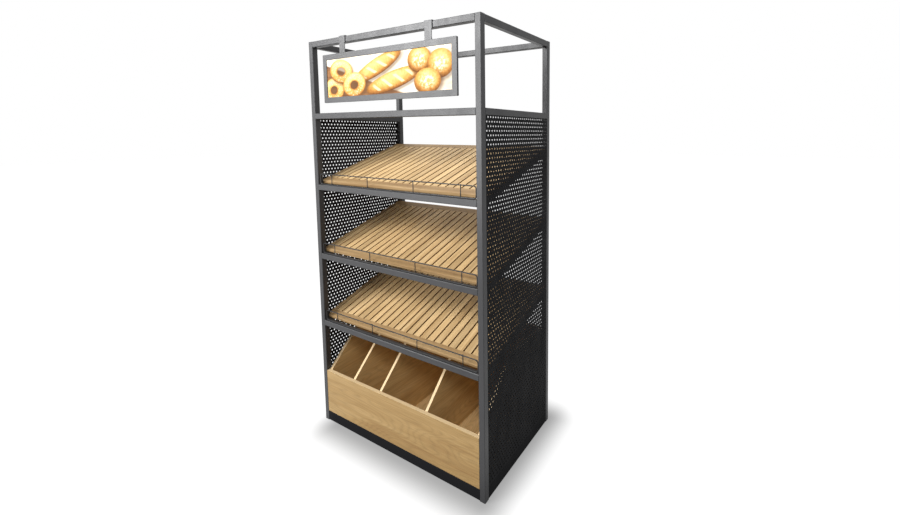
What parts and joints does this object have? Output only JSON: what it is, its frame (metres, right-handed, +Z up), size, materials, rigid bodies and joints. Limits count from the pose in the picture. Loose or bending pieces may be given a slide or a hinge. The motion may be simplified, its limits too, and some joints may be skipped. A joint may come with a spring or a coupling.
{
  "type": "bakery bread rack",
  "caption": "Free-standing shop rack with sloping slatted wooden decks, wire guards, perforated sheet sides, a divided wooden bread bin below and a hanging sign on top.",
  "frame": {"origin": "middle of the footprint over the posts, on the floor", "axes": "+X to the right seen from the front, +Y to the rear, +Z up; the shop's customer stands on the -Y side"},
  "size_m": [1.11, 0.6233, 2.1033],
  "materials": {
    "frame_paint": "satin powder coat, charcoal",
    "base_paint": "satin powder coat, black",
    "panel_paint": "satin powder coat, black",
    "guard_paint": "satin powder coat, black",
    "deck_wood": "clear matt lacquer, fine straight grain",
    "bin_wood": "clear matt lacquer, oak veneer with lighter edges",
    "glide_plastic": "matt black",
    "sign_paint": "satin powder coat, black",
    "sign_print": "matt print on a sheet, cream, gold and brown",
    "sign_back": "satin powder coat, dark grey"
  },
  "bodies": {
    "frame": {"post_front_left": "frame_paint", "post_front_right": "frame_paint", "post_rear_left": "frame_paint", "post_rear_right": "frame_paint", "foot_glides": "glide_plastic", "top_rail_front": "frame_paint", "top_rail_rear": "frame_paint", "top_rail_left": "frame_paint", "top_rail_right": "frame_paint", "base_rail_front": "base_paint", "base_rail_rear": "base_paint", "base_rail_left": "base_paint", "base_rail_right": "base_paint", "header_rail_front": "frame_paint", "header_rail_left": "frame_paint", "header_rail_right": "frame_paint", "upper_shelf_rail_front": "frame_paint", "upper_shelf_rail_rear": "frame_paint", "upper_shelf_support_left": "frame_paint", "upper_shelf_support_right": "frame_paint", "upper_shelf_guard": "guard_paint", "middle_shelf_rail_front": "frame_paint", "middle_shelf_rail_rear": "frame_paint", "middle_shelf_support_left": "frame_paint", "middle_shelf_support_right": "frame_paint", "middle_shelf_guard": "guard_paint", "lower_shelf_rail_front": "frame_paint", "lower_shelf_rail_rear": "frame_paint", "lower_shelf_support_left": "frame_paint", "lower_shelf_support_right": "frame_paint", "lower_shelf_guard": "guard_paint", "side_panel_left": "panel_paint", "side_panel_right": "panel_paint", "bin_front_board": "bin_wood", "bin_back_board": "bin_wood", "bin_floor": "bin_wood", "bin_left_wall": "bin_wood", "bin_right_wall": "bin_wood", "bin_left_divider": "bin_wood", "bin_middle_divider": "bin_wood", "bin_right_divider": "bin_wood"},
    "upper_deck": {"upper_deck_end_boards": "deck_wood", "upper_deck_side_boards": "deck_wood", "upper_deck_slats": "deck_wood", "upper_deck_battens": "deck_wood"},
    "middle_deck": {"middle_deck_end_boards": "deck_wood", "middle_deck_side_boards": "deck_wood", "middle_deck_slats": "deck_wood", "middle_deck_battens": "deck_wood"},
    "lower_deck": {"lower_deck_end_boards": "deck_wood", "lower_deck_side_boards": "deck_wood", "lower_deck_slats": "deck_wood", "lower_deck_battens": "deck_wood"},
    "sign": {"sign_frame": "sign_paint", "sign_print": "sign_print", "sign_back_plate": "sign_back", "sign_hook_left": "sign_paint", "sign_hook_right": "sign_paint"}
  },
  "joints": [
    {"name": "upper_deck_lift", "type": "slide", "parent": "frame", "child": "upper_deck", "axis": [0, 0, 1], "range_m": [0, 0.1]},
    {"name": "middle_deck_lift", "type": "slide", "parent": "frame", "child": "middle_deck", "axis": [0, 0, 1], "range_m": [0, 0.1]},
    {"name": "lower_deck_lift", "type": "slide", "parent": "frame", "child": "lower_deck", "axis": [0, 0, 1], "range_m": [0, 0.1]},
    {"name": "sign_slide", "type": "slide", "parent": "frame", "child": "sign", "axis": [1, 0, 0], "range_m": [-0.088, 0.088]}
  ]
}
